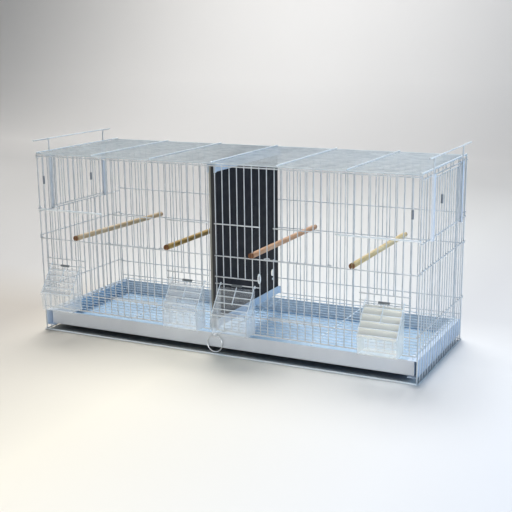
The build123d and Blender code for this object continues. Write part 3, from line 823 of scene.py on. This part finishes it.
def front_door(side):
    """One front door: straight bars from the solid and a top wire with curled ends."""
    node = f"front_door_{side}"
    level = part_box(node)[1].z - CURL
    shape = Shape()
    found = straight_wires(node)
    for (start, end), radius in found:
        tube(shape, wavy(start, end), radius)
    bars = [ends for ends, _ in found if abs(ends[0].z - ends[1].z) > abs(ends[0].x - ends[1].x)]
    places = [bar[0].x for bar in bars]
    pitch = (max(places) - min(places)) / (len(places) - 1)
    left, right = min(places) - pitch, max(places) + pitch
    wire_y = bars[0][0].y - (BAR + CURL) / 2
    across, back = Vector((1, 0, 0)), Vector((0, 1, 0))
    curls = []
    for x, turn in ((left, -DOOR_CURL_TURN), (right, DOOR_CURL_TURN)):
        centre = Vector((x, wire_y + DOOR_CURL_RADIUS, level))
        curls.append(arc(centre, DOOR_CURL_RADIUS, -pi / 2, turn, across, back))
    tube(shape, curls[0][::-1] + curls[1], CURL / 2)
    shape.piece(f"{node}_wires", WHITE_WIRE, BODY_OF[node], (node,))
    found.append(((Vector((left, wire_y, level)), Vector((right, wire_y, level))), CURL / 2))
    welds(f"{node}_welds", found, BODY_OF[node], WHITE_WIRE)


def nest_door_leg(shape, corners):
    """One leg, bent over to the handle at the top; returns its upright run for the welds."""
    low, high = Vector(corners.min(0)), Vector(corners.max(0))
    x = (low.x + high.x) / 2
    foot = corners[corners[:, 2] < low.z + POST]
    y = (foot[:, 1].min() + foot[:, 1].max()) / 2
    forward = -1 if y - low.y > high.y - y else 1
    end_y = low.y if forward < 0 else high.y
    top = high.z - POST / 2
    centre = Vector((x, y + forward * HANDLE_BEND, top - HANDLE_BEND))
    across, up = Vector((0, -forward, 0)), Vector((0, 0, 1))
    path = wavy((x, y, low.z), (x, y, top - HANDLE_BEND))[:-1]
    path += arc(centre, HANDLE_BEND, 0, pi / 2, across, up, LEG_BEND_STEPS)
    path.append(Vector((x, end_y, top)))
    tube(shape, path, LEG_RADIUS, sides=LEG_SIDES)
    return (Vector((x, y, low.z)), Vector((x, y, top))), POST / 2


def nest_door(side):
    """One nest door: its straight wires from the solid, its handle and its two legs."""
    node = f"nest_door_{side}"
    roof_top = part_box("roof_panel")[1].z
    shape, handle = Shape(), Shape()
    found = straight_wires(node)
    for (start, end), radius in found:
        tube(handle if start.z > roof_top else shape, wavy(start, end), radius)
    for corners in loose_parts(node):
        if len(corners) not in PRISM_CORNERS:
            found.append(nest_door_leg(shape, corners))
    shape.piece(f"{node}_wires", WHITE_WIRE, BODY_OF[node], (node,))
    handle.piece(f"{node}_handle", ROOF_BAR, BODY_OF[node], (node,))
    welds(f"{node}_welds", found, BODY_OF[node], WHITE_WIRE)


def feeder_guard(number):
    """One guard: cross wires from the solid, and side wires that hook over the hinge wire."""
    node = f"feeder_guard_{number}"
    hinge = Vector(JOINTS[f"{node}_swing"]["pos_m"])
    low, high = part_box(node)
    down = Vector((0, -cos(GUARD_SLOPE), -sin(GUARD_SLOPE)))
    out = Vector((0, -sin(GUARD_SLOPE), cos(GUARD_SLOPE)))
    shape = Shape()
    found = straight_wires(node)
    for (start, end), radius in found:
        tube(shape, wavy(start, end), radius)
    for x in (low.x + SIDE_WIRE_INSET, high.x - SIDE_WIRE_INSET):
        centre = Vector((x, hinge.y, hinge.z))
        foot = centre + down * (GUARD_LENGTH + CURL) + out * HOOK_RADIUS
        crown = centre + out * HOOK_RADIUS
        hook = arc(centre, HOOK_RADIUS, pi / 2, GUARD_HOOK_TURN, down, out)
        tube(shape, wavy(foot, crown)[:-1] + hook, CURL / 2)
        found.append(((foot, crown), CURL / 2))
    shape.piece(f"{node}_wires", ROOF_BAR, BODY_OF[node], (node,))
    welds(f"{node}_welds", found, BODY_OF[node], ROOF_BAR)


def pull_ring():
    """A round wire ring with the bead where its ends are welded."""
    low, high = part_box("tray_ring")
    centre = (low + high) / 2
    radius = (high.x - low.x - RING_WIRE) / 2
    across, back, up = Vector((1, 0, 0)), Vector((0, 1, 0)), Vector((0, 0, 1))
    shape = Shape()
    path = arc(centre, radius, 0, 2 * pi, across, up, RING_STEPS)[:-1]
    tube(shape, path, RING_WIRE / 2, closed=True, sides=RING_SIDES)
    nugget(shape, centre - up * radius, across, back, RING_BEAD_SIZE * RING_WIRE)
    shape.piece("tray_ring_wire", PLATED_STEEL, "tray_ring", ("tray_ring",))


for side in ("left", "right"):
    front_door(side)
    nest_door(side)
for number in (1, 2, 3, 4):
    feeder_guard(number)
pull_ring()


# Sheet, plastic and wood: most of it the solids themselves with rounded edges

def softened(node, material, width, segments=2):
    """A copy of a node with its sharp edges rounded by width."""
    mesh = frame["nodes"][node].data.copy()
    mesh.name = f"{node}_finished"
    form = bmesh.new()
    form.from_mesh(mesh)
    bmesh.ops.remove_doubles(form, verts=form.verts, dist=SAME_POINT)
    bmesh.ops.dissolve_limit(form, angle_limit=FLAT_ANGLE, verts=form.verts, edges=form.edges)
    form.to_mesh(mesh)
    form.free()
    mesh.materials.clear()
    mesh.materials.append(material)
    made = bpy.data.objects.new(mesh.name, mesh)
    bpy.context.scene.collection.objects.link(made)
    rounding = made.modifiers.new("rounded_edges", "BEVEL")
    rounding.width = width
    rounding.segments = segments
    rounding.limit_method = "ANGLE"
    rounding.angle_limit = SHARP_ANGLE
    rounding.harden_normals = True
    mesh.shade_smooth()
    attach(made, BODY_OF[node])
    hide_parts(node)
    return made


def oval(centre_y, centre_z, width, length):
    """An upright slot's outline as Y and Z pairs, or a circle's where width equals length."""
    radius, rise = width / 2, (length - width) / 2
    top, bottom = [], []
    for angle in np.linspace(0, pi, OVAL_STEPS):
        across, up = radius * cos(angle), radius * sin(angle)
        top.append((centre_y + across, centre_z + rise + up))
        bottom.append((centre_y - across, centre_z - rise - up))
    return top + bottom if rise > 0 else top[:-1] + bottom[:-1]


def divider_outlines(low, high):
    """The edge, the finger slot and the small hole of the divider, as Y and Z pairs."""
    middle = high.y - SLOT_FROM_BACK
    edge = [(low.y, low.z), (high.y, low.z), (high.y, high.z), (low.y, high.z)]
    slot = oval(middle, SLOT_LEVEL, SLOT_WIDTH, SLOT_LENGTH)
    hole = oval(middle, HOLE_LEVEL, HOLE_WIDTH, HOLE_WIDTH)
    return edge, slot, hole


def divider_sheet():
    """The divider's flat sheet with both openings cut right through, their walls bright with a painted highlight.
    """
    low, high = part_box("divider_sheet")
    loops = divider_outlines(low, high)
    triangles = tessellate_polygon([[Vector((0, y, z)) for y, z in loop] for loop in loops])
    count = sum(len(loop) for loop in loops)
    shape = Shape()
    for x in (low.x, high.x):
        shape.points += [Vector((x, y, z)) for loop in loops for y, z in loop]
    for triangle in triangles:
        shape.faces.append(tuple(reversed(triangle)))
        shape.faces.append(tuple(corner + count for corner in triangle))
    bright_from = len(shape.faces) + len(loops[0])
    first = 0
    for loop in loops:
        for step in range(len(loop)):
            one, other = first + step, first + (step + 1) % len(loop)
            shape.faces.append((one, other, other + count, one + count))
        first += len(loop)
    body = BODY_OF["divider_sheet"]
    made = shape.piece("divider_sheet_cut", DARK_SHEET, body, ("divider_sheet",))
    made.data.shade_flat()
    # The openings' walls take the bright bar paint as a painted highlight
    made.data.materials.append(ROOF_BAR)
    for wall in made.data.polygons[bright_from:]:
        wall.material_index = 1


def rail_clip():
    """A loop of stout wire clipped on the upright beside the third feeder's rail."""
    middle_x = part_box("feeder_guard_3")[1].x + CLIP_FROM_GUARD
    middle_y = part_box("front_panel")[0].y + CLIP_WIRE / 2
    path = []
    for step in range(CLIP_STEPS):
        angle = 2 * pi * step / CLIP_STEPS
        across = (CLIP_WIDTH - CLIP_WIRE) / 2 * cos(angle)
        up = (CLIP_LENGTH - CLIP_WIRE) / 2 * sin(angle)
        path.append(Vector((middle_x + across, middle_y, CLIP_LEVEL + up)))
    shape = Shape()
    tube(shape, path, CLIP_WIRE / 2, closed=True)
    shape.piece("feeder_rail_clip", ROOF_BAR, "cage")


softened("tray", TRAY_SHEET, TRAY_EDGE)
for side in ("left", "right"):
    softened(f"tray_runner_{side}", RUNNER_SHEET, RUNNER_EDGE)
    softened(f"nest_door_channels_{side}", CHANNEL_SHEET, SHEET_EDGE)
    softened(f"nest_door_catch_{side}", DARK_PLASTIC, CLIP_EDGE)
divider_sheet()
softened("divider_trim", EDGE_TRIM, TRIM_EDGE)
softened("divider_floor_guide", PALE_BLUE_SHEET, SHEET_EDGE)
softened("divider_roof_guide", PALE_BLUE_SHEET, SHEET_EDGE)
softened("front_clips", DARK_PLASTIC, CLIP_EDGE)
softened("ring_strap", PLATED_STEEL, SHEET_EDGE)
for number, (hood_reflection, tones) in CUP_LOOKS.items():
    softened(f"feeder_guard_tab_{number}", TAB_PLASTIC, CLIP_EDGE)
    cup_plastic = clear_plastic(f"clear_cup_plastic_{number}", hood_reflection, *tones)
    cup = softened(f"feeder_cup_{number}", cup_plastic, CUP_EDGE, CUP_EDGE_STEPS)
    # The see-through walls would draw dark blots on the floor
    cup.visible_shadow = False
for number, tones in PERCH_TONES.items():
    low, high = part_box(f"perch_{number}")
    middle_y, half_length = (low.y + high.y) / 2, (high.y - low.y) / 2
    grain = wood(f"perch_wood_{number}", *tones, END_TONE, middle_y, half_length)
    softened(f"perch_{number}", grain, PERCH_EDGE)
rail_clip()


# Stage, lights and camera

def sweep_profile():
    """The backdrop's outline as Y and Z pairs: a floor that curves up into a wall."""
    profile = [(SWEEP_FRONT, 0.0), (SWEEP_TURN, 0.0)]
    for angle in np.linspace(0, pi / 2, SWEEP_STEPS)[1:]:
        back, up = SWEEP_BEND * sin(angle), SWEEP_BEND - SWEEP_BEND * cos(angle)
        profile.append((SWEEP_TURN + back, up))
    profile.append((SWEEP_TURN + SWEEP_BEND, SWEEP_HEIGHT))
    return profile


def studio_paper():
    """Matt paper toned from left to right, with other tones in front than far behind, painted light and shade."""
    made, tree, shader = blank("studio_paper")
    x, y = coordinate(tree, "Object", "X"), coordinate(tree, "Object", "Y")
    floor_tone = ramp(tree, remapped(tree, x, *FLOOR_SPAN), FLOOR_TONES)
    across_wall = remapped(tree, x, *WALL_SPAN)
    back_tone = ramp(tree, across_wall, BACK_TONES)
    near_tone = ramp(tree, across_wall, NEAR_WALL_TONES)
    far_tone = ramp(tree, across_wall, FAR_WALL_TONES)
    wall_tone = blended(tree, remapped(tree, y, *FAR_WALL_SPAN), near_tone, far_tone)
    ground_tone = blended(tree, remapped(tree, y, *BACK_SPAN), floor_tone, back_tone)
    tone = blended(tree, remapped(tree, y, *AWAY_SPAN), ground_tone, wall_tone)
    tree.links.new(tone, shader.inputs["Base Color"])
    shader.inputs["Roughness"].default_value = 0.9
    return made


def sweep_backdrop():
    """A floor that curves up into a wall far behind."""
    profile = sweep_profile()
    mesh = bpy.data.meshes.new("studio_sweep")
    points = [(x, y, z) for y, z in profile for x in (-SWEEP_HALF_WIDTH, SWEEP_HALF_WIDTH)]
    faces = [(2 * k, 2 * k + 1, 2 * k + 3, 2 * k + 2) for k in range(len(profile) - 1)]
    mesh.from_pydata(points, [], faces)
    mesh.shade_smooth()
    made = bpy.data.objects.new("studio_sweep", mesh)
    bpy.context.scene.collection.objects.link(made)
    mesh.materials.append(studio_paper())


def lamp(name, place, aim, power, colour, size=0.0, spread_angle=0.0):
    """A square soft light aimed at a point, or a distant one when it has no size."""
    data = bpy.data.lights.new(name, "AREA" if size else "SUN")
    if size:
        data.size = size
    else:
        data.angle = spread_angle
    data.energy = power
    data.color = colour
    made = bpy.data.objects.new(name, data)
    made.location = place
    made.rotation_euler = (Vector(aim) - Vector(place)).to_track_quat("-Z", "Y").to_euler()
    bpy.context.scene.collection.objects.link(made)


def light_world():
    """A dim even surround that only the camera, shiny surfaces and glass see as pale paper."""
    world = bpy.data.worlds.new("studio")
    bpy.context.scene.world = world
    world.use_nodes = True
    tree = world.node_tree
    rays = tree.nodes.new("ShaderNodeLightPath").outputs
    shiny = combined(tree, "MAXIMUM", rays["Is Camera Ray"], rays["Is Glossy Ray"])
    shown = combined(tree, "MAXIMUM", shiny, rays["Is Transmission Ray"])
    strength = remapped(tree, shown, 0.0, 1.0, SURROUND_LIGHT, SURROUND_SEEN)
    tint = blended(tree, shown, SURROUND_LIGHT_TINT, SURROUND_SEEN_TINT)
    background = tree.nodes["Background"]
    tree.links.new(tint, background.inputs["Color"])
    tree.links.new(strength, background.inputs["Strength"])


def place_camera():
    """The photograph's viewpoint: turned left of the cage's depth, dipped and rolled."""
    data = bpy.data.cameras.new("camera")
    data.sensor_width = SENSOR_WIDTH
    data.lens = FOCAL_PIXELS / PHOTO_PIXELS * SENSOR_WIDTH
    ahead = Vector((
        -sin(CAMERA_TURN) * cos(CAMERA_DIP),
        cos(CAMERA_TURN) * cos(CAMERA_DIP),
        -sin(CAMERA_DIP),
    ))
    right = ahead.cross(Vector((0, 0, 1))).normalized()
    down = ahead.cross(right)
    rolled_right = right * cos(CAMERA_ROLL) - down * sin(CAMERA_ROLL)
    rolled_down = right * sin(CAMERA_ROLL) + down * cos(CAMERA_ROLL)
    turn = Matrix((rolled_right, -rolled_down, -ahead)).transposed()
    made = bpy.data.objects.new("camera", data)
    made.matrix_world = Matrix.Translation(CAMERA_PLACE) @ turn.to_4x4()
    bpy.context.scene.collection.objects.link(made)
    bpy.context.scene.camera = made


sweep_backdrop()
light_world()
lamp(
    "key_light",
    place=(-0.5, 0.9, 2.2),
    aim=(0.0, 0.0, 0.0),
    power=3.35,
    colour=(1.0, 0.985, 0.96),
    spread_angle=radians(30),
)
lamp(
    "front_lamp",
    place=(0.9, -3.3, 0.16),
    aim=(0.0, 0.0, 0.15),
    power=31,
    colour=(1.0, 0.985, 0.965),
    size=0.32,
)
lamp(
    "right_lamp",
    place=(2.6, -0.3, 1.1),
    aim=(0.3, 0.0, 0.2),
    power=22,
    colour=(0.42, 0.69, 1.0),
    size=1.2,
)
lamp(
    "wall_lamp",
    place=(-1.8, 3.9, 3.0),
    aim=(-2.0, 4.7, 0.3),
    power=100,
    colour=(1.0, 0.99, 0.98),
    size=2.5,
)
place_camera()
bpy.context.scene.view_settings.view_transform = "Standard"
